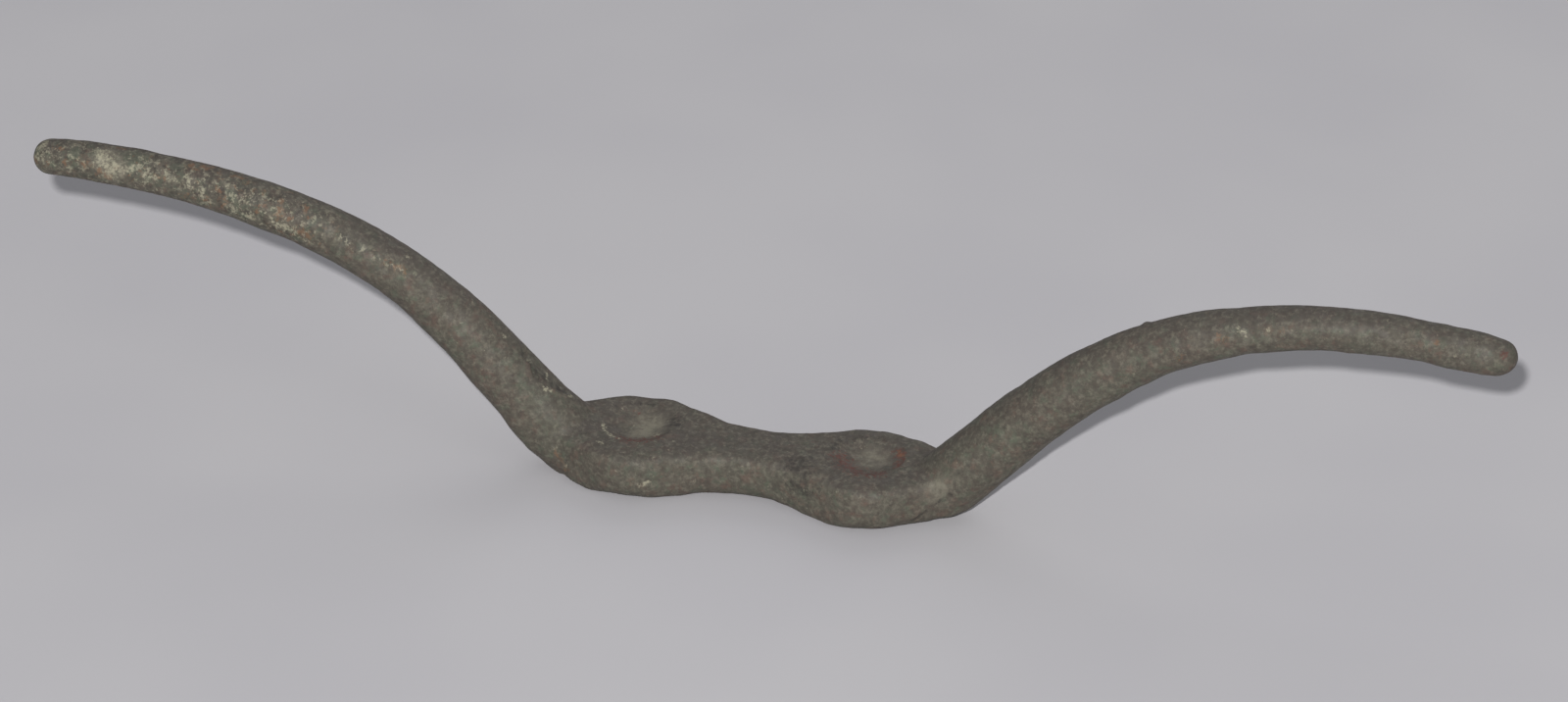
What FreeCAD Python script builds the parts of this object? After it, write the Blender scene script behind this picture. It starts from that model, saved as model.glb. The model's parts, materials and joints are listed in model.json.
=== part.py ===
import FreeCAD, Part
import math
import os

import Sketcher

# A rough cast cleat horn, in millimetres and degrees, made as one solid casting.
# +X runs along the cleat, +Y across it and +Z up, away from what it is fastened to.
# The origin is on the flat underside, midway between the two bosses.

NODE = "cleat_horn_casting"

# Driving dimensions, one row of the sheet each. The two horns of a hand-finished
# casting aren't quite alike, so each has its own upper bend.
DIMENSIONS = [
    ("boss_spacing", 33.0),
    ("boss_radius", 8.8),
    ("waist_width", 9.3),
    ("bar_thickness", 7.4),
    ("foot_radius", 4.2),
    ("top_edge_round", 1.4),
    ("base_edge_round", 2.8),
    ("root_reach", 26.3),
    ("root_lift", 3.9),
    ("root_diameter", 9.6),
    ("tip_diameter", 4.8),
    ("rise_angle", 47.5),
    ("straight_length", 19.3),
    ("lower_bend_radius", 55.0),
    ("lower_bend_angle", 24.7),
    ("left_upper_bend_radius", 88.5),
    ("left_upper_bend_angle", 27.5),
    ("right_upper_bend_radius", 63.0),
    ("right_upper_bend_angle", 36.7),
    ("dish_rim_radius", 4.8),
    ("dish_depth", 1.0),
    ("dish_edge_round", 0.5),
]

# Ends of a sketch element, and the two axes of a sketch.
START = 1
END = 2
CENTRE = 3
X_AXIS = -1
Y_AXIS = -2

SHEET = "sizes"
TOLERANCE = 1e-6

doc = FreeCAD.newDocument("cleat_horn")


def make_sheet():
    sheet = doc.addObject("Spreadsheet::Sheet", SHEET)
    for row, (alias, value) in enumerate(DIMENSIONS, start=1):
        sheet.set(f"A{row}", alias)
        sheet.set(f"B{row}", str(value))
        sheet.setAlias(f"B{row}", alias)
    doc.recompute()
    return sheet


sizes = make_sheet()


def size(alias):
    return float(sizes.get(alias))


def origin_plane(body, role):
    for feature in body.Origin.OriginFeatures:
        if feature.Role == role:
            return feature
    raise ValueError("no origin plane " + role)


def new_sketch(body, name, role):
    sketch = body.newObject("Sketcher::SketchObject", name)
    sketch.AttachmentSupport = [(origin_plane(body, role), "")]
    sketch.MapMode = "FlatFace"
    return sketch


def vector(x, y):
    return FreeCAD.Vector(x, y, 0)


def line(sketch, start, end):
    return sketch.addGeometry(Part.LineSegment(vector(*start), vector(*end)))


def arc(sketch, centre, radius, first_angle, last_angle):
    circle = Part.Circle(vector(*centre), FreeCAD.Vector(0, 0, 1), radius)
    return sketch.addGeometry(Part.ArcOfCircle(circle, first_angle, last_angle))


def hold(sketch, *constraint):
    return sketch.addConstraint(Sketcher.Constraint(*constraint))


def drive(sketch, name, expression, *constraint):
    """Add a dimension and bind its value to the sheet."""
    index = hold(sketch, *constraint)
    sketch.renameConstraint(index, name)
    sketch.setExpression("Constraints." + name, expression)


def bar_outline(body):
    """A quarter of the bar in plan: waist, boss, and the tail that runs out to the foot."""
    half = size("boss_spacing") / 2
    boss = size("boss_radius")
    waist = size("waist_width") / 2
    foot = size("foot_radius")
    reach = size("root_reach")

    # The waist arc is centred on the Y axis and touches the boss circle.
    hollow = (half ** 2 + waist ** 2 - boss ** 2) / (2 * (boss - waist))
    hollow_y = waist + hollow
    touch = math.atan2(hollow_y, half)
    # The tail's side touches the boss circle and the foot circle.
    side = math.pi / 2 - math.asin((boss - foot) / (reach - half))
    boss_point = (half + boss * math.cos(side), boss * math.sin(side))
    foot_point = (reach + foot * math.cos(side), foot * math.sin(side))

    sketch = new_sketch(body, "bar_outline", "XY_Plane")
    along = line(sketch, (0, 0), (reach + foot, 0))
    foot_arc = arc(sketch, (reach, 0), foot, 0, side)
    tail_side = line(sketch, foot_point, boss_point)
    boss_arc = arc(sketch, (half, 0), boss, side, math.pi - touch)
    waist_arc = arc(sketch, (0, hollow_y), hollow, -math.pi / 2, -touch)
    across = line(sketch, (0, waist), (0, 0))

    hold(sketch, "Coincident", along, START, X_AXIS, START)
    hold(sketch, "Coincident", along, END, foot_arc, START)
    hold(sketch, "Tangent", foot_arc, END, tail_side, START)
    hold(sketch, "Tangent", tail_side, END, boss_arc, START)
    hold(sketch, "Tangent", boss_arc, END, waist_arc, END)
    hold(sketch, "Coincident", waist_arc, START, across, START)
    hold(sketch, "Coincident", across, END, X_AXIS, START)
    hold(sketch, "Horizontal", along)
    hold(sketch, "Vertical", across)
    hold(sketch, "PointOnObject", foot_arc, CENTRE, X_AXIS)
    hold(sketch, "PointOnObject", boss_arc, CENTRE, X_AXIS)
    hold(sketch, "PointOnObject", waist_arc, CENTRE, Y_AXIS)
    drive(sketch, "boss_radius", "sizes.boss_radius", "Radius", boss_arc, boss)
    drive(sketch, "foot_radius", "sizes.foot_radius", "Radius", foot_arc, foot)
    drive(sketch, "half_spacing", "sizes.boss_spacing / 2",
          "DistanceX", X_AXIS, START, boss_arc, CENTRE, half)
    drive(sketch, "reach", "sizes.root_reach",
          "DistanceX", X_AXIS, START, foot_arc, CENTRE, reach)
    drive(sketch, "half_waist", "sizes.waist_width / 2",
          "DistanceY", X_AXIS, START, across, START, waist)
    return sketch


def outer_edges(base, height):
    """Names of the edges at one height that will be on the outside of the mirrored bar."""
    names = []
    for number, edge in enumerate(base.Shape.Edges, start=1):
        box = edge.BoundBox
        is_level = abs(box.ZMin - height) < TOLERANCE and abs(box.ZMax - height) < TOLERANCE
        is_inside = box.XMax < TOLERANCE or box.YMax < TOLERANCE
        if is_level and not is_inside:
            names.append(f"Edge{number}")
    return names


def round_edges(body, base, name, height, expression):
    fillet = body.newObject("PartDesign::Fillet", name)
    fillet.Base = (base, outer_edges(base, height))
    fillet.setExpression("Radius", expression)
    doc.recompute()
    return fillet


def mirror_step(body, name, role):
    step = body.newObject("PartDesign::Mirrored", name)
    step.MirrorPlane = (origin_plane(body, role), [""])
    return step


def bar(body):
    """The flat bar with its two bosses: a quarter, rounded top and bottom, mirrored twice."""
    quarter = body.newObject("PartDesign::Pad", "bar_quarter")
    quarter.Profile = bar_outline(body)
    quarter.setExpression("Length", "sizes.bar_thickness")
    doc.recompute()
    top = round_edges(body, quarter, "top_round", size("bar_thickness"), "sizes.top_edge_round")
    base = round_edges(body, top, "base_round", 0, "sizes.base_edge_round")

    whole = body.newObject("PartDesign::MultiTransform", "whole_bar")
    whole.Originals = [quarter, top, base]
    whole.Transformations = [
        mirror_step(body, "front_and_back", "XZ_Plane"),
        mirror_step(body, "left_and_right", "YZ_Plane"),
    ]
    body.Tip = whole
    doc.recompute()


def horn_spine(body, name, turn_outward):
    """The centre line of one horn: a straight rise, then two arcs that bend it over.

    The sketch stands in the XZ plane, with its own X axis pointing outward from the bar.
    """
    reach = size("root_reach")
    lift = size("root_lift")
    straight = size("straight_length")
    heading = math.radians(size("rise_angle"))
    point = (reach + straight * math.cos(heading), lift + straight * math.sin(heading))

    sketch = new_sketch(body, name + "_spine", "XZ_Plane")
    sketch.AttachmentOffset = FreeCAD.Placement(FreeCAD.Vector(), turn_outward)
    rise = line(sketch, (reach, lift), point)
    drive(sketch, "reach", "sizes.root_reach",
          "DistanceX", X_AXIS, START, rise, START, reach)
    drive(sketch, "lift", "sizes.root_lift",
          "DistanceY", X_AXIS, START, rise, START, lift)
    drive(sketch, "straight", "sizes.straight_length", "Distance", rise, straight)
    drive(sketch, "rise", "sizes.rise_angle",
          "Angle", X_AXIS, START, rise, START, heading)

    previous, previous_end = rise, END
    for bend in ("lower_bend", name + "_upper_bend"):
        radius = size(bend + "_radius")
        turn = math.radians(size(bend + "_angle"))
        centre = (point[0] + radius * math.sin(heading), point[1] - radius * math.cos(heading))
        steepest = math.pi / 2 + heading
        curve = arc(sketch, centre, radius, steepest - turn, steepest)
        hold(sketch, "Tangent", previous, previous_end, curve, END)
        drive(sketch, bend + "_radius", f"sizes.{bend}_radius", "Radius", curve, radius)
        drive(sketch, bend + "_angle", f"sizes.{bend}_angle", "Angle", curve, turn)
        previous, previous_end = curve, START
        heading -= turn
        point = (centre[0] - radius * math.sin(heading), centre[1] + radius * math.cos(heading))
    return sketch


def set_across(feature, spine, edge):
    """Set a feature square across the spine, at the first point of one of its edges."""
    feature.AttachmentSupport = [(spine, edge)]
    feature.MapMode = "NormalToEdge"
    feature.MapPathParameter = 0


def round_section(body, name, spine, edge, diameter):
    sketch = body.newObject("Sketcher::SketchObject", name)
    set_across(sketch, spine, edge)
    radius = size(diameter) / 2
    circle = sketch.addGeometry(Part.Circle(vector(0, 0), FreeCAD.Vector(0, 0, 1), radius))
    hold(sketch, "Coincident", circle, CENTRE, X_AXIS, START)
    drive(sketch, "radius", f"sizes.{diameter} / 2", "Radius", circle, radius)
    return sketch


def ball(body, name, spine, edge, diameter):
    """A ball that rounds off one end of a horn."""
    sphere = body.newObject("PartDesign::AdditiveSphere", name)
    set_across(sphere, spine, edge)
    sphere.setExpression("Radius", f"sizes.{diameter} / 2")
    doc.recompute()


def horn(body, name, turn_outward):
    """One horn: a round bar that tapers along its spine, with a ball at each end."""
    spine = horn_spine(body, name, turn_outward)
    doc.recompute()
    root_edge, bend_edge, tip_edge = "Edge1", "Edge2", "Edge3"
    sweep = body.newObject("PartDesign::AdditivePipe", name + "_horn")
    sweep.Profile = round_section(body, name + "_root", spine, root_edge, "root_diameter")
    sweep.Spine = (spine, [root_edge, bend_edge, tip_edge])
    sweep.Sections = [(round_section(body, name + "_tip", spine, tip_edge, "tip_diameter"), [""])]
    sweep.Transformation = "Multisection"
    doc.recompute()
    ball(body, name + "_root_ball", spine, root_edge, "root_diameter")
    ball(body, name + "_tip_ball", spine, tip_edge, "tip_diameter")


def level_underside(body):
    """Cut off what the root balls leave below the flat underside."""
    length = 2 * (size("root_reach") + size("root_diameter"))
    width = 4 * size("boss_radius")
    corners = [
        (-length / 2, -width / 2),
        (length / 2, -width / 2),
        (length / 2, width / 2),
        (-length / 2, width / 2),
    ]
    sketch = new_sketch(body, "below_underside", "XY_Plane")
    sides = [line(sketch, corners[i], corners[(i + 1) % 4]) for i in range(4)]
    for i in range(4):
        hold(sketch, "Coincident", sides[i], END, sides[(i + 1) % 4], START)
    for i in (0, 2):
        hold(sketch, "Horizontal", sides[i])
        hold(sketch, "Vertical", sides[i + 1])
    hold(sketch, "Symmetric", sides[0], START, sides[2], START, X_AXIS, START)
    drive(sketch, "length", "2 * (sizes.root_reach + sizes.root_diameter)",
          "DistanceX", sides[0], START, sides[0], END, length)
    drive(sketch, "width", "4 * sizes.boss_radius",
          "DistanceY", sides[1], START, sides[1], END, width)
    trim = body.newObject("PartDesign::Pocket", "level_underside")
    trim.Profile = sketch
    trim.Type = "ThroughAll"
    doc.recompute()


def dish_profile(body):
    """Half the section of a dish: a shallow bowl whose rim rolls over onto the boss."""
    rim = size("dish_rim_radius")
    depth = size("dish_depth")
    lip = size("dish_edge_round")
    # The bowl's arc and the lip's arc meet where both have the same slope.
    bowl = (rim ** 2 + depth ** 2) / (2 * depth) - lip
    slope = math.asin(rim / (bowl + lip))

    sketch = new_sketch(body, "dish_profile", "XZ_Plane")
    sketch.setExpression("AttachmentOffset.Base.x", "sizes.boss_spacing / 2")
    sketch.setExpression("AttachmentOffset.Base.y", "sizes.bar_thickness")
    bowl_arc = arc(sketch, (0, bowl - depth), bowl, -math.pi / 2, slope - math.pi / 2)
    lip_arc = arc(sketch, (rim, -lip), lip, math.pi / 2, math.pi / 2 + slope)
    wall = line(sketch, (rim, 0), (rim, depth))
    roof = line(sketch, (rim, depth), (0, depth))
    middle = line(sketch, (0, depth), (0, -depth))
    hold(sketch, "Tangent", bowl_arc, END, lip_arc, END)
    hold(sketch, "Coincident", lip_arc, START, wall, START)
    hold(sketch, "Coincident", wall, END, roof, START)
    hold(sketch, "Coincident", roof, END, middle, START)
    hold(sketch, "Coincident", middle, END, bowl_arc, START)
    hold(sketch, "Vertical", wall)
    hold(sketch, "Horizontal", roof)
    hold(sketch, "PointOnObject", bowl_arc, CENTRE, Y_AXIS)
    hold(sketch, "PointOnObject", middle, START, Y_AXIS)
    hold(sketch, "PointOnObject", middle, END, Y_AXIS)
    hold(sketch, "PointOnObject", lip_arc, START, X_AXIS)
    hold(sketch, "Vertical", lip_arc, CENTRE, lip_arc, START)
    drive(sketch, "rim", "sizes.dish_rim_radius",
          "DistanceX", X_AXIS, START, wall, START, rim)
    drive(sketch, "lip", "sizes.dish_edge_round", "Radius", lip_arc, lip)
    drive(sketch, "depth", "sizes.dish_depth",
          "DistanceY", middle, END, X_AXIS, START, depth)
    drive(sketch, "clearance", "sizes.dish_depth",
          "DistanceY", X_AXIS, START, roof, END, depth)
    return sketch


def dishes(body):
    """The shallow screw spot on top of each boss."""
    dish = body.newObject("PartDesign::Groove", "right_dish")
    profile = dish_profile(body)
    dish.Profile = profile
    dish.ReferenceAxis = (profile, ["V_Axis"])
    dish.Angle = 360
    doc.recompute()
    other = body.newObject("PartDesign::Mirrored", "left_dish")
    other.Originals = [dish]
    other.MirrorPlane = (origin_plane(body, "YZ_Plane"), [""])
    body.Tip = other
    doc.recompute()


def cleat_horn_casting():
    body = doc.addObject("PartDesign::Body", NODE)
    body.Label = NODE
    body.Placement = FreeCAD.Placement()
    bar(body)
    horn(body, "right", FreeCAD.Rotation())
    horn(body, "left", FreeCAD.Rotation(FreeCAD.Vector(0, 1, 0), 180))
    whole = body.Shape.Volume
    level_underside(body)
    trimmed = body.Shape.Volume
    dishes(body)
    dished = body.Shape.Volume
    if not dished < trimmed < whole:
        raise RuntimeError("a cut removed nothing")
    return body


def check(subparts):
    doc.recompute()
    for item in doc.Objects:
        if "Invalid" in item.State or "Error" in item.State:
            raise RuntimeError(f"{item.Name} failed: {item.State}")
    for part in subparts:
        if part.Shape.isNull() or not part.Shape.isValid():
            raise RuntimeError(part.Label + " has no valid shape")
        if len(part.Shape.Solids) != 1:
            raise RuntimeError(part.Label + " is not one solid")


def export(subparts):
    os.makedirs("parts", exist_ok=True)
    for part in subparts:
        part.Shape.exportStep(f"parts/{part.Label}.step")
        box = part.Shape.optimalBoundingBox()
        print(f"{part.Label}: {part.Shape.Volume:.0f} mm3, {box.XLength:.1f} x "
              f"{box.YLength:.1f} x {box.ZLength:.1f} mm")


pieces = [cleat_horn_casting()]
check(pieces)
export(pieces)
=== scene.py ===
"""The looks of a rough-cast bronze cleat, which stands on a pale floor under soft studio light.

Everything is in metres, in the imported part's frame: +X along the cleat, -Y its front, +Z up.
A place on the casting is given as (along, around): along runs from -1 at the left tip to 1 at the right tip,
and around is in degrees about the horn or the bar, from 0 on top to 90 at the front and 180 underneath.
Negative degrees go round the back instead.
"""
import json
import math

import bmesh
import bpy
import numpy as np
from mathutils import Matrix, Vector, noise
from mathutils.bvhtree import BVHTree


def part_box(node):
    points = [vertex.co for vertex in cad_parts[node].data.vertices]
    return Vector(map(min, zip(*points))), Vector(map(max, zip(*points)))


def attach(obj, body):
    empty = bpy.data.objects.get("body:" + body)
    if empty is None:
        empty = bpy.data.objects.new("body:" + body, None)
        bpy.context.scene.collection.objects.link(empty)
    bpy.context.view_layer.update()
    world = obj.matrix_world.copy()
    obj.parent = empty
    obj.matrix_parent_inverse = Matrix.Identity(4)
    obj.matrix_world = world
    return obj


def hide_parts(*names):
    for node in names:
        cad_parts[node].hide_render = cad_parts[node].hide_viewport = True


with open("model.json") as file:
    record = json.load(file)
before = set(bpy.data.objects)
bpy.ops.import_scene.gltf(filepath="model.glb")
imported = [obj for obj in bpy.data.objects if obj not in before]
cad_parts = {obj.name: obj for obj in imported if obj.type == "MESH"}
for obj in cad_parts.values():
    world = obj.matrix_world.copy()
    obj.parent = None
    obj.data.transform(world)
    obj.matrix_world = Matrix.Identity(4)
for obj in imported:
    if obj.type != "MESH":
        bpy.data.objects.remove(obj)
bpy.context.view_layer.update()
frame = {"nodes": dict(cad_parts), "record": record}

MM = 0.001
NODE = "cleat_horn_casting"
LOW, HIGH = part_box(NODE)
MIDDLE = (LOW + HIGH) / 2
DISHES = [Vector(m["pos_m"]) for m in frame["record"]["mounts"] if m["name"].endswith("screw_spot")]

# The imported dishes' size
DISH_REACH = 4.8 * MM
DISH_DEPTH = 1.0 * MM

# The size of the mesh's faces, and how many rounds of smoothing each of its parts gets
FACE_SIZE = 0.3 * MM
SURFACE_ROUNDS = 3
CORNER_FILL_ROUNDS = 70
FRONT_EDGE_ROUNDS = 45
RIM_ROUNDS = 6

# The real dishes' bowls: their middles, a little behind the screw spots, and their size
BOWLS = [DISHES[0] + Vector((-0.1, 1.3, 0)) * MM, DISHES[1] + Vector((-0.2, 0.6, 0)) * MM]
BOWL_REACH = 5.2 * MM
BOWL_REACH_ACROSS = 4.9 * MM
BOWL_DEPTH = 1.0 * MM
BOWL_POWER = 2.6

# How deep the flake and the crease go, with the flake's lip as a share of its depth, and how high the
# lumps of the skin stand: coarse, middling, fine and finest, then those on the dishes' rims
FLAKE_DEPTH = 0.55 * MM
FLAKE_LIP = 0.25
CREASE_DEPTH = 0.18 * MM
LUMP_HEIGHTS = [0.10 * MM, 0.06 * MM, 0.040 * MM, 0.030 * MM]
RIM_LUMP_HEIGHT = 0.20 * MM

# How far the real tips are bent up, and how much longer the right horn is
LEFT_TIP_LIFT = 0.45 * MM
RIGHT_TIP_LIFT = 0.60 * MM
RIGHT_TIP_REACH = 0.75 * MM


# ---------------------------------------------------------------- the mesh

def even_mesh(source):
    """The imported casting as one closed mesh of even, small faces."""
    joined = bmesh.new()
    joined.from_mesh(source.data)
    bmesh.ops.remove_doubles(joined, verts=joined.verts, dist=0.001 * MM)
    mesh = bpy.data.meshes.new("casting_source")
    joined.to_mesh(mesh)
    joined.free()
    piece = bpy.data.objects.new("casting_source", mesh)
    bpy.context.scene.collection.objects.link(piece)
    remesh = piece.modifiers.new("even_faces", "REMESH")
    remesh.mode = "VOXEL"
    remesh.voxel_size = FACE_SIZE
    evaluated = piece.evaluated_get(bpy.context.evaluated_depsgraph_get())
    fine = bpy.data.meshes.new_from_object(evaluated)
    bpy.data.objects.remove(piece)
    return fine


def points_of(mesh):
    points = np.empty(len(mesh.vertices) * 3, np.float32)
    mesh.vertices.foreach_get("co", points)
    return points.reshape(-1, 3).astype(float)


def set_points(mesh, points):
    mesh.vertices.foreach_set("co", points.astype(np.float32).ravel())
    mesh.update()


def normals_of(mesh):
    normals = np.empty(len(mesh.vertices) * 3, np.float32)
    mesh.vertex_normals.foreach_get("vector", normals)
    return normals.reshape(-1, 3).astype(float)


def edges_of(mesh):
    ends = np.empty(len(mesh.edges) * 2, np.int32)
    mesh.edges.foreach_get("vertices", ends)
    return ends.reshape(-1, 2)


def smoothed(points, edges, rounds):
    """The points, moved halfway to the mean of their neighbours that many times."""
    first, second = edges.T
    count = len(points)
    neighbours = np.bincount(first, minlength=count) + np.bincount(second, minlength=count)
    for _ in range(rounds):
        total = np.zeros_like(points)
        for axis in range(3):
            total[:, axis] += np.bincount(first, points[second, axis], count)
            total[:, axis] += np.bincount(second, points[first, axis], count)
        points = (points + total / neighbours[:, None]) / 2
    return points


def fade(value, start, end):
    """0 before start and 1 past end, with a smooth step between; start may be the larger."""
    share = np.clip((value - start) / (end - start), 0, 1)
    return share * share * (3 - 2 * share)


def lumps(points, size, seed):
    """Smooth noise, mostly between -0.7 and 0.7, whose lumps are about size metres across."""
    shift = Vector((seed * 13.7, seed * 7.9, seed * 3.1))
    return np.array([noise.noise(Vector(p) / size + shift) for p in points])


class Skin:
    """Finds places on the casting and how far every point of its mesh is from them."""

    def __init__(self, mesh):
        self.points = points_of(mesh)
        faces = [tuple(face.vertices) for face in mesh.polygons]
        self.tree = BVHTree.FromPolygons([Vector(p) for p in self.points], faces)

    def place(self, along, around):
        x = along * (HIGH.x if along > 0 else -LOW.x)
        down = Vector((0, 0, -1))
        top = self.tree.ray_cast(Vector((x, 0, HIGH.z + 10 * MM)), down)[0]
        bottom = self.tree.ray_cast(top + down * FACE_SIZE, down)[0]
        turn = math.radians(around)
        outward = Vector((0, -math.sin(turn), math.cos(turn)))
        return self.tree.ray_cast((top + bottom) / 2, outward)[0]

    def path(self, *places):
        return [self.place(*place) for place in places]

    def arc(self, dish, start, end, radius):
        """Points on top of the bar round a dish, from angle to angle in degrees: 0 right, 270 in front."""
        found = []
        for degrees in np.linspace(start, end, 7):
            turn = math.radians(degrees)
            above = Vector((dish.x + radius * math.cos(turn), dish.y + radius * math.sin(turn), HIGH.z))
            found.append(self.tree.ray_cast(above, Vector((0, 0, -1)))[0])
        return found

    def distance(self, path):
        """How far each point of the mesh is from a path of one or more places."""
        nearest = np.full(len(self.points), np.inf)
        for start, end in zip(path, path[1:] or path):
            a, b = np.array(start), np.array(end)
            line = b - a
            share = np.clip((self.points - a) @ line / max(line @ line, 1e-12), 0, 1)
            nearest = np.minimum(nearest, np.linalg.norm(self.points - a - share[:, None] * line, axis=1))
        return nearest


def dish_distance(points):
    """Each point's distance, seen from above, from the middle of the nearer dish."""
    return np.min([np.hypot(points[:, 0] - d.x, points[:, 1] - d.y) for d in DISHES], axis=0)


def fill_corners(mesh):
    """Adds the small cast fillet where the horns rise out of the bar; it only ever adds metal."""
    points = points_of(mesh)
    filled = smoothed(points, edges_of(mesh), CORNER_FILL_ROUNDS)
    normals = normals_of(mesh)
    outward = np.einsum("ij,ij->i", filled - points, normals)
    from_middle = np.abs(points[:, 0])
    near_corner = fade(from_middle, 20 * MM, 22 * MM) * fade(from_middle, 38 * MM, 34 * MM)
    above_base = fade(points[:, 2], 0.3 * MM, 1.2 * MM)
    amount = np.maximum(outward, 0) * near_corner * above_base
    set_points(mesh, points + normals * amount[:, None])


def round_front_edge(mesh):
    """Wears the bar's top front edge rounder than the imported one."""
    points = points_of(mesh)
    soft = smoothed(points, edges_of(mesh), FRONT_EDGE_ROUNDS)
    worn = fade(points[:, 1], -1.5 * MM, -3.5 * MM) * fade(points[:, 2], 3.5 * MM, 5.5 * MM)
    worn *= fade(np.abs(points[:, 0]), 27 * MM, 22 * MM)
    set_points(mesh, points + (soft - points) * worn[:, None])


def move_dishes(mesh):
    """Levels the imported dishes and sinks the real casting's bowls, which are oval and lie further back."""
    points = points_of(mesh)
    for dish, middle in zip(DISHES, BOWLS):
        top = dish.z + DISH_DEPTH
        in_dish = np.hypot(points[:, 0] - dish.x, points[:, 1] - dish.y) < DISH_REACH + 0.6 * MM
        points[:, 2] = np.where(in_dish & (points[:, 2] > dish.z - 0.1 * MM), top, points[:, 2])
        out = np.hypot((points[:, 0] - middle.x) / BOWL_REACH, (points[:, 1] - middle.y) / BOWL_REACH_ACROSS)
        bowl = top - BOWL_DEPTH * (1 - out ** BOWL_POWER)
        inside = (out < 1) & (points[:, 2] > bowl)
        points[:, 2] = np.where(inside, bowl, points[:, 2])
    soft = smoothed(points, edges_of(mesh), RIM_ROUNDS)
    near_rim = fade(dish_distance(points), 7.0 * MM, 6.0 * MM) * fade(points[:, 2], 5.0 * MM, 6.0 * MM)
    set_points(mesh, points + (soft - points) * near_rim[:, None])


def swellings(skin):
    """Where the casting stands proud of the plain form, or below it: path, reach and height in mm.

    The last two are small burrs.
    """
    return [
        (skin.path((-0.98, -20), (-0.86, -20)), 4.5, 0.30),
        (skin.path((-0.64, 145), (-0.58, 146), (-0.485, 148)), 4.0, -0.28),
        (skin.path((-0.38, 140), (-0.34, 135)), 4.5, 0.18),
        (skin.path((-0.32, 140), (-0.305, 145)), 3.5, 0.50),
        (skin.path((0.322, -12), (0.345, -12)), 3.5, 0.22),
        (skin.path((-0.245, -50), (-0.20, -63)), 4.0, 0.36),
        (skin.path((-0.125, -64), (-0.08, -57)), 4.2, 0.46),
        (skin.path((0.02, -50), (0.09, -58), (0.136, -63)), 3.0, -0.15),
        (skin.path((0.160, -63), (0.196, -63)), 3.5, -0.42),
        (skin.path((-0.235, 123), (-0.218, 119)), 3.2, 0.50),
        (skin.path((-0.259, 149)), 1.8, 0.22),
        (skin.path((-0.170, 110), (-0.150, 110)), 3.6, -0.48),
        (skin.path((-0.06, 129), (0.028, 131)), 3.5, -0.36),
        (skin.path((0.088, 122), (0.118, 114)), 3.2, 0.45),
        (skin.path((0.172, 109), (0.215, 117), (0.25, 137)), 3.5, -0.32),
        (skin.path((0.278, 158), (0.290, 166)), 3.2, -0.90),
        (skin.path((0.42, 130), (0.49, 130)), 4.5, 0.40),
        (skin.path((0.50, -20), (0.60, -25)), 5.0, 0.22),
        (skin.path((0.57, 155), (0.655, 154)), 4.0, -0.33),
        (skin.path((0.68, 145), (0.76, 147)), 4.0, -0.30),
        (skin.path((0.92, 150), (0.955, 150)), 3.5, 0.40),
        (skin.path((0.002, -32)), 0.9, 0.40),
        (skin.path((0.528, -23)), 0.9, 0.22),
    ]


def set_tips(points):
    """Bends both tips up a little and draws the right one out; each bend starts about an eighth in."""
    moved = points.copy()
    left = fade(points[:, 0], 0.86 * LOW.x, 0.98 * LOW.x)
    right = fade(points[:, 0], 0.88 * HIGH.x, 0.98 * HIGH.x)
    moved[:, 2] += LEFT_TIP_LIFT * left + RIGHT_TIP_LIFT * right
    moved[:, 0] += RIGHT_TIP_REACH * right
    return moved


def crease(skin):
    """The shallow crease low on the front of the right horn's root."""
    return skin.path((0.235, 112), (0.285, 96))


def torn_edge(skin):
    """The near edge of the flake torn from the back of the left horn's root."""
    return skin.path(
        (-0.319, 9), (-0.307, 7), (-0.302, 15), (-0.297, 18),
        (-0.284, 14), (-0.271, 8), (-0.261, 1), (-0.255, -13),
    )


def torn_skin(skin):
    """How deep each point lies in the torn flake: below 0 on the lip before its near edge, up to 1."""
    edge = torn_edge(skin)
    across, back = skin.points[:, 0], skin.points[:, 1]
    edge_back = np.interp(across, [p.x for p in edge], [p.y for p in edge])
    away = skin.distance(edge) + 0.15 * MM * lumps(skin.points, 0.9 * MM, 6)
    steps = np.where(across < -0.288 * -LOW.x, 1.0, 0.65)
    hollow = fade(away, 0, 0.35 * MM) * fade(back, 2.4 * MM, 0.6 * MM) * steps
    lip = FLAKE_LIP * fade(away, 0.8 * MM, 0)
    ends = fade(across, edge[0].x - 0.5 * MM, edge[0].x + 0.8 * MM)
    ends *= fade(across, edge[-1].x, edge[-1].x - 0.5 * MM)
    on_top = fade(skin.points[:, 2], 8 * MM, 10 * MM)
    return np.where(back > edge_back, hollow, -lip) * ends * on_top


def shape_by_hand(mesh):
    """Gives the plain form the uneven shape and sandy skin of a rough casting."""
    skin = Skin(mesh)
    points = skin.points
    normals = normals_of(mesh)
    on_top = fade(points[:, 2], 4.5 * MM, 6 * MM)
    in_dish = fade(dish_distance(points), 5.0 * MM, 4.0 * MM) * on_top
    coarse, middling, fine, finest = LUMP_HEIGHTS
    lift = coarse * lumps(points, 14 * MM, 1)
    lift += middling * lumps(points, 5 * MM, 2)
    sand = fine * lumps(points, 1.9 * MM, 3) + finest * lumps(points, 0.9 * MM, 4)
    lift += sand * (1 - 0.6 * in_dish)
    at_rim = fade(np.abs(dish_distance(points) - DISH_REACH), 1.2 * MM, 0)
    lift += RIM_LUMP_HEIGHT * at_rim * on_top * lumps(points, 2.5 * MM, 5)
    for path, reach, height in swellings(skin):
        lift += height * MM * fade(skin.distance(path), reach * MM, 0)
    lift -= FLAKE_DEPTH * torn_skin(skin)
    lift -= CREASE_DEPTH * fade(skin.distance(crease(skin)), 0.40 * MM, 0)
    moved = set_tips(points + normals * lift[:, None])
    moved[:, 2] = np.maximum(moved[:, 2], LOW.z)
    set_points(mesh, moved)


# ---------------------------------------------------------------- stains, painted shade and painted highlights, painted on the mesh

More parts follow.
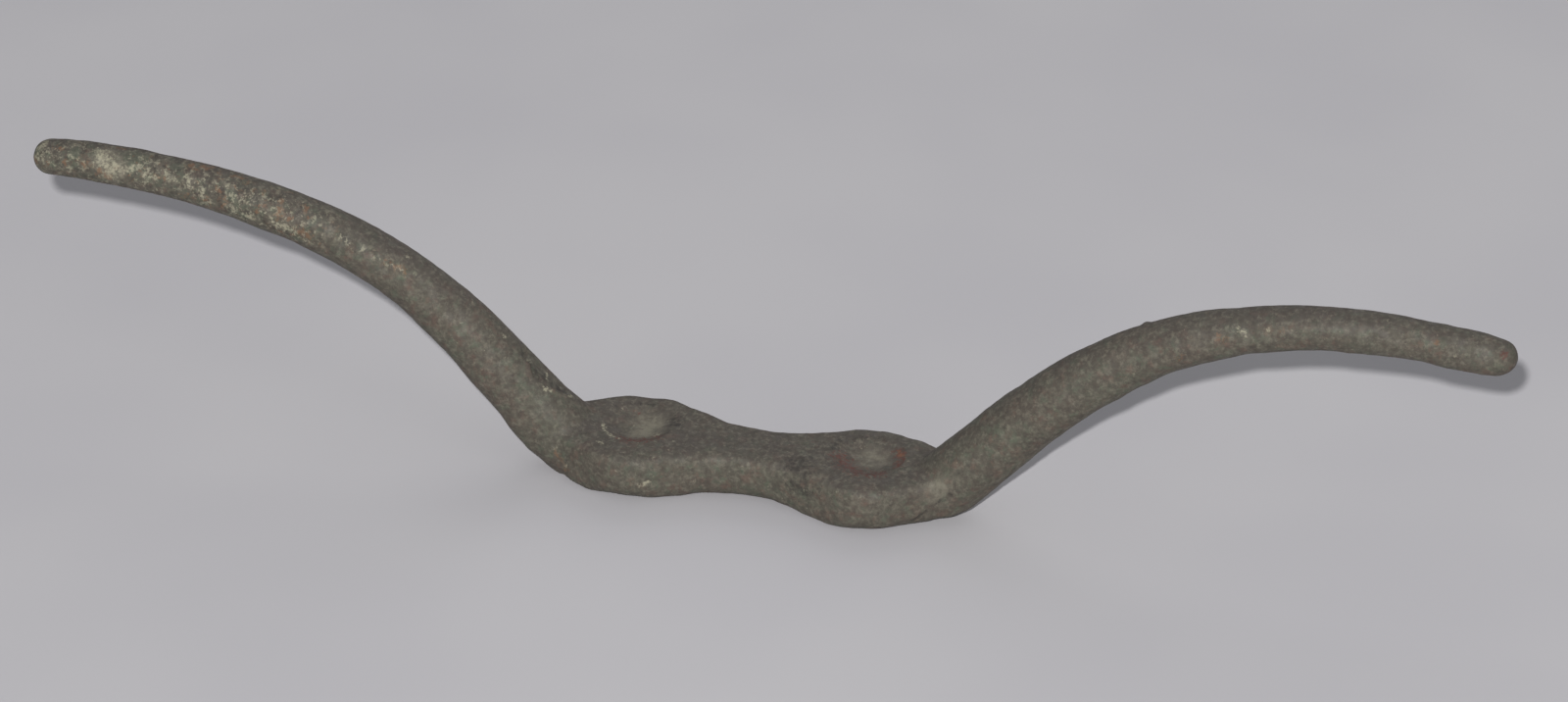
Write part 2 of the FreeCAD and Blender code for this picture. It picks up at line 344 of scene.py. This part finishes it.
def chalk_and_highlights(skin):
    """Chalky, greenish-white deposit, with painted highlights along the torn flake's edge: each path with its
    half-width in mm.
    """
    left, _ = BOWLS
    return [
        (skin.path((-0.987, 25), (-0.987, 56)), 0.9),
        (skin.path((-0.896, 41), (-0.884, 56), (-0.874, 78)), 1.5),
        (skin.path((-0.853, 61), (-0.848, 50)), 0.9),
        (skin.path((-0.828, 66)), 0.9),
        (skin.path((-0.804, 44), (-0.794, 67)), 0.5),
        (skin.path((-0.773, 46), (-0.766, 68)), 0.6),
        (skin.path((-0.750, 68), (-0.750, 87)), 0.6),
        (skin.path((-0.716, 41)), 0.6),
        (skin.path((-0.681, 44)), 0.6),
        (skin.path((-0.708, 92), (-0.695, 99), (-0.678, 99)), 0.5),
        (skin.path((-0.648, 90), (-0.620, 86)), 0.6),
        (skin.path((-0.542, 51)), 0.3),
        (skin.path((-0.472, 10)), 0.4),
        (skin.path((-0.341, 5)), 0.4),
        # The next four are painted highlights, where the torn flake's edge catches the light
        (skin.path((-0.310, -2)), 0.5),
        (skin.path((-0.290, -10), (-0.286, 0)), 0.3),
        (skin.path((-0.284, 18), (-0.277, 15)), 0.4),
        (skin.path((-0.258, -4), (-0.255, -8)), 0.5),
        (skin.path((-0.264, 95)), 0.4),
        (skin.path((-0.247, 111)), 0.4),
        (skin.path((-0.200, 51), (-0.198, 53)), 0.45),
        (skin.path((-0.134, 89), (-0.125, 86)), 0.50),
        (skin.path((-0.066, 93)), 0.35),
        (skin.path((0.089, 79)), 0.30),
        (skin.path((0.653, 52), (0.663, 65)), 0.45),
        (skin.path((0.688, 61)), 0.5),
        (skin.arc(left, 200, 252, 5.0 * MM), 0.45),
        (skin.arc(left, 326, 334, 3.6 * MM), 0.40),
    ]


def crust(skin):
    """Where the skin of the left horn is thickly speckled with chalky, sooty and rusty flecks."""
    return [
        (skin.path((-0.98, 50), (-0.80, 55), (-0.60, 55)), 3.6),
        (skin.path((-0.72, 95), (-0.60, 95)), 1.5),
        (skin.path((-0.56, 50), (-0.46, 35)), 0.7),
    ]


def rust(skin):
    """Rust-brown spots, most of them on the outer half of the left horn."""
    _, right = BOWLS
    return [
        (skin.path((-0.918, 69)), 0.9),
        (skin.path((-0.895, 90), (-0.886, 94)), 0.9),
        (skin.path((-0.772, 14), (-0.751, -3)), 0.9),
        (skin.path((-0.713, 9), (-0.701, 0)), 0.8),
        (skin.path((-0.719, 83)), 1.0),
        (skin.path((-0.644, 62), (-0.640, 54)), 1.0),
        (skin.path((-0.608, 25)), 0.9),
        (skin.path((-0.615, 85), (-0.600, 80)), 0.9),
        (skin.path((-0.479, 38)), 0.3),
        (skin.path((-0.262, 103), (-0.246, 114)), 0.6),
        (skin.path((0.632, 69)), 0.9),
        (skin.path((0.708, 63)), 0.6),
        (skin.path((0.581, 93)), 0.7),
        (skin.path((0.904, 60)), 0.7),
        (skin.arc(right, 18, 32, 4.4 * MM), 0.5),
    ]


def red(skin):
    """Dark red-brown skin: on the dishes' rims, at the right tip and on the back of the left boss."""
    left, right = BOWLS
    return [
        (skin.arc(left, 258, 318, 4.4 * MM), 1.5),
        (skin.arc(right, 195, 262, 3.8 * MM), 1.9),
        (skin.arc(right, 262, 300, 4.4 * MM), 1.6),
        (skin.arc(right, -12, 35, 4.3 * MM), 1.1),
        (skin.path((0.99, 54)), 0.9),
        (skin.path((-0.173, -53)), 0.6),
    ]


def soot_and_shade(skin):
    """Painted shade in the crease, along the torn flake's edge, between the dishes on the right boss's left
    flank and round the dishes' rims; real soot on the left horn.
    """
    left, right = BOWLS
    return [
        # Painted shade: the crease, then the right boss's left flank, then the dishes' rims at their ends and
        # far sides
        (crease(skin), 0.35),
        (skin.path((0.072, 45), (0.088, 80)), 2.4),
        (skin.arc(left, 8, 24, 5.3 * MM), 1.0),
        (skin.arc(right, 152, 170, 5.3 * MM), 1.1),
        (skin.arc(left, 80, 120, 4.9 * MM), 0.4),
        (skin.arc(right, 80, 130, 4.8 * MM), 0.5),
        # Real soot on the left horn
        (skin.path((-0.806, 32)), 0.5),
        # Painted shade along the torn flake's edge, where the step lies in shadow
        (skin.path((-0.318, 3), (-0.300, 5), (-0.285, 5), (-0.262, -8)), 0.9),
    ]


def pale(skin):
    """The lighter floors of the dishes, the veil near the left tip and the lighter spot on the right heel."""
    left, right = BOWLS
    return [
        (skin.arc(left, -80, 80, 2.2 * MM), 1.7),
        ([left + Vector((0.6, 0, 0)) * MM], 2.4),
        ([right + Vector((0.3, 0.6, 0)) * MM], 2.4),
        (skin.path((-0.890, 45), (-0.876, 75)), 1.9),
        (skin.path((0.262, 82), (0.272, 72)), 1.3),
    ]


def paint(mesh, skin, name, marks):
    """Stores how strongly each point carries that mark, a stain, painted shade or a painted highlight, from 0
    to 1, under that name.
    """
    strength = np.zeros(len(skin.points))
    for path, half_width in marks:
        strength = np.maximum(strength, fade(skin.distance(path), 1.6 * half_width * MM, 0))
    layer = mesh.attributes.new(name, "FLOAT", "POINT")
    layer.data.foreach_set("value", strength.astype(np.float32))


# ---------------------------------------------------------------- materials

class Nodes:
    """Short words for the nodes of one material."""

    def __init__(self, name):
        self.material = bpy.data.materials.new(name)
        self.material.use_nodes = True
        self.tree = self.material.node_tree
        self.shader = self.tree.nodes["Principled BSDF"]
        self.place = self.node("ShaderNodeTexCoord").outputs["Object"]

    def node(self, kind, inputs=(), **settings):
        made = self.tree.nodes.new(kind)
        for key, value in settings.items():
            setattr(made, key, value)
        for key, value in dict(inputs).items():
            self.feed(made.inputs[key], value)
        return made

    def feed(self, socket, value):
        if isinstance(value, bpy.types.NodeSocket):
            self.tree.links.new(value, socket)
        else:
            socket.default_value = value

    def math(self, operation, a, b=0.0):
        return self.node("ShaderNodeMath", {0: a, 1: b}, operation=operation).outputs[0]

    def noise(self, size, seed, detail=3.0, roughness=0.55):
        """Noise from 0 to 1, with lumps about size metres across."""
        moved = self.node(
            "ShaderNodeVectorMath",
            {0: self.place, 1: (seed * 0.37, seed * 0.61, seed * 0.23)},
            operation="ADD",
        )
        texture = self.node(
            "ShaderNodeTexNoise",
            {"Vector": moved.outputs[0], "Scale": 1 / size, "Detail": detail, "Roughness": roughness},
        )
        return texture.outputs["Fac"]

    def flecks(self, size, seed, start, end):
        """Ragged grains and blots about size metres across; a higher start leaves fewer of them."""
        return self.step(self.noise(size, seed, 6.0, 0.72), start, end)

    def step(self, value, start, end, low=0.0, high=1.0):
        """Low before start and high past end, with a smooth step between."""
        made = self.node(
            "ShaderNodeMapRange",
            {"Value": value, "From Min": start, "From Max": end, "To Min": low, "To Max": high},
            interpolation_type="SMOOTHSTEP",
        )
        return made.outputs["Result"]

    def mix(self, share, under, over, blend="MIX"):
        made = self.node("ShaderNodeMix", data_type="RGBA", blend_type=blend)
        self.feed(made.inputs["Factor"], share)
        self.feed(made.inputs[6], under)
        self.feed(made.inputs[7], over)
        return made.outputs[2]

    def painted(self, name):
        return self.node("ShaderNodeAttribute", attribute_name=name).outputs["Fac"]

    def grainy_mark(self, name, grain, seed, most):
        """A painted mark, whether stain, painted shade or painted highlight, broken up into grains of that
        size.
        """
        painted = self.painted(name)
        raised = self.math("MULTIPLY", painted, 0.20)
        grains = self.step(self.math("ADD", self.noise(grain, seed, 5.0, 0.7), raised), 0.58, 0.78, 0.0, most)
        return self.math("MULTIPLY", grains, self.step(painted, 0.0, 0.30))


def tone(red, green, blue):
    """A linear colour from 0-255 screen values."""
    linear = [(c / 255 / 12.92 if c < 11 else ((c / 255 + 0.055) / 1.055) ** 2.4) for c in (red, green, blue)]
    return (*linear, 1.0)


UMBER = tone(67, 60, 54)
# Grey umber for the painted shade on faces that look up
TOP_SHADE_UMBER = tone(78, 72, 68)
BROWN_OLIVE = tone(92, 85, 75)
GREEN_OLIVE = tone(91, 89, 77)
PALE_OLIVE = tone(129, 124, 109)
GREEN_GREY = tone(86, 97, 80)
RED_BROWN = tone(105, 82, 72)
DARK_RED = tone(97, 57, 49)
# Soot, and the painted shade in the crease, along the flake's edge, on a flank and at the dishes' rims
SOOT_AND_SHADE = tone(44, 41, 38)
# Chalk, and the painted highlights along the torn flake's edge
CHALK_AND_HIGHLIGHT = tone(176, 171, 147)
RUSTY = tone(128, 94, 69)


def patina():
    """Old bronze: dull olive-brown, mottled green and red-brown, with chalky, rusty and sooty stains, painted
    shade on upward faces, in the crease, on a flank and round the flake and dishes, and painted highlights on
    the flake's edge.
    """
    n = Nodes("cast_bronze_patina")
    colour = n.mix(n.step(n.noise(7 * MM, 1), 0.30, 0.70), BROWN_OLIVE, GREEN_OLIVE)
    colour = n.mix(n.step(n.noise(1.3 * MM, 2, 5.0, 0.65), 0.56, 0.34, 0, 0.50), colour, UMBER)
    colour = n.mix(n.step(n.noise(0.9 * MM, 3, 5.0, 0.65), 0.50, 0.72, 0, 0.40), colour, PALE_OLIVE)
    colour = n.mix(n.step(n.noise(1.5 * MM, 4, 4.0, 0.65), 0.50, 0.68, 0, 0.50), colour, GREEN_GREY)
    colour = n.mix(n.step(n.noise(1.7 * MM, 5, 4.0, 0.65), 0.50, 0.68, 0, 0.50), colour, RED_BROWN)

    geometry = n.node("ShaderNodeNewGeometry")
    facing = n.node("ShaderNodeSeparateXYZ", {0: geometry.outputs["Normal"]})
    # Painted shade: faces that look up are darkened towards grey umber, as they catch less light than the
    # fronts
    upward = n.step(facing.outputs["Z"], 0.35, 0.95)
    shaded_tops = n.math("MULTIPLY", upward, n.step(n.noise(4 * MM, 6, 4.0), 0.25, 0.65, 0.30, 0.70))
    colour = n.mix(shaded_tops, colour, TOP_SHADE_UMBER)
    rosy = n.step(n.noise(5 * MM, 7, 4.0), 0.35, 0.65, 0.12, 0.45)
    colour = n.mix(n.math("MULTIPLY", n.step(facing.outputs["Y"], 0.05, 0.60), rosy), colour, RED_BROWN)
    colour = n.mix(n.step(n.noise(0.8 * MM, 8, 4.0, 0.7), 0.58, 0.40, 0, 0.45), colour, UMBER)
    colour = n.mix(n.step(n.noise(0.7 * MM, 9, 4.0, 0.7), 0.48, 0.68, 0, 0.40), colour, PALE_OLIVE)

    crust = n.painted("crust")
    for tint, size, seed, start, most in (
        (SOOT_AND_SHADE, 1.6, 21, 0.51, 0.50),
        (GREEN_GREY, 2.2, 22, 0.52, 0.36),
        (RUSTY, 1.5, 23, 0.56, 0.55),
        (CHALK_AND_HIGHLIGHT, 0.8, 24, 0.53, 0.48),
        (CHALK_AND_HIGHLIGHT, 1.4, 25, 0.61, 0.70),
    ):
        flecks = n.flecks(size * MM, seed, start, start + 0.08)
        share = n.math("MULTIPLY", n.math("MULTIPLY", crust, flecks), most)
        colour = n.mix(share, colour, tint)
    colour = n.mix(n.math("MULTIPLY", n.flecks(1.0 * MM, 26, 0.64, 0.70), 0.35), colour, CHALK_AND_HIGHLIGHT)
    colour = n.mix(n.math("MULTIPLY", n.flecks(1.3 * MM, 27, 0.60, 0.70), 0.40), colour, SOOT_AND_SHADE)
    thickness = n.step(n.noise(1.8 * MM, 31, 5.0, 0.7), 0.38, 0.62, 0.25, 0.85)
    colour = n.mix(n.math("MULTIPLY", n.painted("pale"), thickness), colour, PALE_OLIVE)
    # The painted marks, with painted shade among the soot and painted highlights among the chalk
    for name, tint, grain, seed, most in (
        ("red", DARK_RED, 0.6, 32, 0.80),
        ("soot_and_shade", SOOT_AND_SHADE, 0.8, 33, 0.62),
        ("rust", RUSTY, 0.8, 34, 0.52),
        ("chalk_and_highlights", CHALK_AND_HIGHLIGHT, 0.45, 35, 0.62),
    ):
        colour = n.mix(n.grainy_mark(name, grain * MM, seed, most), colour, tint)
    n.feed(n.shader.inputs["Base Color"], colour)

    n.shader.inputs["Metallic"].default_value = 0.15
    n.feed(n.shader.inputs["Roughness"], n.step(n.noise(1.5 * MM, 12, 4.0), 0.3, 0.7, 0.62, 0.86))
    grain = n.math("ADD", n.noise(0.35 * MM, 13, 4.0, 0.6), n.noise(1.1 * MM, 14, 4.0, 0.6))
    bump = n.node("ShaderNodeBump", {"Strength": 0.6, "Distance": 0.06 * MM, "Height": grain})
    n.feed(n.shader.inputs["Normal"], bump.outputs["Normal"])
    return n.material


def pale_floor():
    """Matt pale grey, very faintly cloudy."""
    n = Nodes("pale_floor")
    n.shader.inputs["Roughness"].default_value = 0.9
    n.shader.inputs["Specular IOR Level"].default_value = 0.1
    cloudy = n.step(n.noise(60 * MM, 1, 2.0), 0.3, 0.7)
    n.feed(n.shader.inputs["Base Color"], n.mix(cloudy, tone(189, 187, 190), tone(193, 191, 193)))
    return n.material


# ---------------------------------------------------------------- the pieces

FLOOR_SIZE = 6.0


def casting():
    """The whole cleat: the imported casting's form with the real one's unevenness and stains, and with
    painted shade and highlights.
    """
    mesh = even_mesh(frame["nodes"][NODE])
    set_points(mesh, smoothed(points_of(mesh), edges_of(mesh), SURFACE_ROUNDS))
    fill_corners(mesh)
    round_front_edge(mesh)
    move_dishes(mesh)
    shape_by_hand(mesh)
    skin = Skin(mesh)
    for marks in (chalk_and_highlights, crust, rust, red, soot_and_shade, pale):
        paint(mesh, skin, marks.__name__, marks(skin))
    mesh.materials.clear()
    mesh.materials.append(patina())
    mesh.shade_smooth()
    piece = bpy.data.objects.new("rough_casting", mesh)
    bpy.context.scene.collection.objects.link(piece)
    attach(piece, "root")
    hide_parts(NODE)


def floor():
    """A large level sheet at the height of the cleat's underside."""
    mesh = bpy.data.meshes.new("floor")
    half = FLOOR_SIZE / 2
    corners = [(-half, -half, 0), (half, -half, 0), (half, half, 0), (-half, half, 0)]
    mesh.from_pydata(corners, [], [(0, 1, 2, 3)])
    mesh.materials.append(pale_floor())
    piece = bpy.data.objects.new("floor", mesh)
    piece.location.z = LOW.z
    bpy.context.scene.collection.objects.link(piece)


# ---------------------------------------------------------------- camera and light

VIEW_AZIMUTH = math.radians(14.25)
VIEW_ELEVATION = math.radians(30.98)
VIEW_ROLL = math.radians(-0.17)
VIEW_DISTANCE = 0.511
VIEW_LENS = 87.0
AIM = MIDDLE + Vector((5.44, 0, 2.0)) * MM

# The key lamp's place from the aim: just behind, left of and above the camera
KEY_BACK = 0.535
KEY_LEFT = 0.016
KEY_UP = 0.0215
KEY_RADIUS = 0.0055
KEY_POWER = 36.0

# Each softbox's name, place from the aim, size and power
SOFTBOXES = [
    ("overhead", (-0.1, 0.9, 1.0), 0.9, 1.8),
    ("back_fill", (0.2, 1.2, 0.45), 0.8, 1.2),
    ("right_fill", (0.9, -0.5, 0.5), 0.5, 0.6),
]
SURROUND_COLOUR = (0.93, 0.95, 1.0, 1.0)
SURROUND_STRENGTH = 0.26


def view_axes():
    """The camera's right, up and back directions, before its roll."""
    back = Vector((
        math.sin(VIEW_AZIMUTH) * math.cos(VIEW_ELEVATION),
        -math.cos(VIEW_AZIMUTH) * math.cos(VIEW_ELEVATION),
        math.sin(VIEW_ELEVATION),
    ))
    right = Vector((math.cos(VIEW_AZIMUTH), math.sin(VIEW_AZIMUTH), 0))
    return right, back.cross(right), back


def camera():
    """The camera at the chosen viewing angle, with a slight roll."""
    right, up, back = view_axes()
    data = bpy.data.cameras.new("camera")
    data.lens = VIEW_LENS
    data.clip_start = 10 * MM
    piece = bpy.data.objects.new("camera", data)
    turn = Matrix((right, up, back)).transposed() @ Matrix.Rotation(VIEW_ROLL, 3, "Z")
    piece.matrix_world = Matrix.Translation(AIM + back * VIEW_DISTANCE) @ turn.to_4x4()
    bpy.context.scene.collection.objects.link(piece)
    bpy.context.scene.camera = piece


def area_light(name, place, size, power):
    """A round softbox that faces the cleat."""
    data = bpy.data.lights.new(name, "AREA")
    data.shape = "DISK"
    data.size = size
    data.energy = power
    piece = bpy.data.objects.new(name, data)
    piece.location = place
    piece.rotation_euler = (place - AIM).to_track_quat("Z", "Y").to_euler()
    bpy.context.scene.collection.objects.link(piece)


def even_lamp(name, place, radius, power):
    """A small round lamp, as bright far off as close by, so that the floor stays even."""
    data = bpy.data.lights.new(name, "POINT")
    data.shadow_soft_size = radius
    data.energy = power
    data.use_nodes = True
    tree = data.node_tree
    falloff = tree.nodes.new("ShaderNodeLightFalloff")
    falloff.inputs["Strength"].default_value = 1.0
    tree.links.new(falloff.outputs["Constant"], tree.nodes["Emission"].inputs["Strength"])
    piece = bpy.data.objects.new(name, data)
    piece.location = place
    bpy.context.scene.collection.objects.link(piece)


def light():
    """A small key lamp by the camera, softboxes overhead, behind and at the right, and an even surround."""
    right, up, back = view_axes()
    key_place = AIM + back * KEY_BACK - right * KEY_LEFT + up * KEY_UP
    even_lamp("key", key_place, KEY_RADIUS, KEY_POWER)
    for name, place, size, power in SOFTBOXES:
        area_light(name, AIM + Vector(place), size, power)
    world = bpy.data.worlds.new("surround")
    bpy.context.scene.world = world
    world.use_nodes = True
    background = world.node_tree.nodes["Background"]
    background.inputs["Color"].default_value = SURROUND_COLOUR
    background.inputs["Strength"].default_value = SURROUND_STRENGTH
    bpy.context.scene.view_settings.view_transform = "Standard"


casting()
floor()
camera()
light()
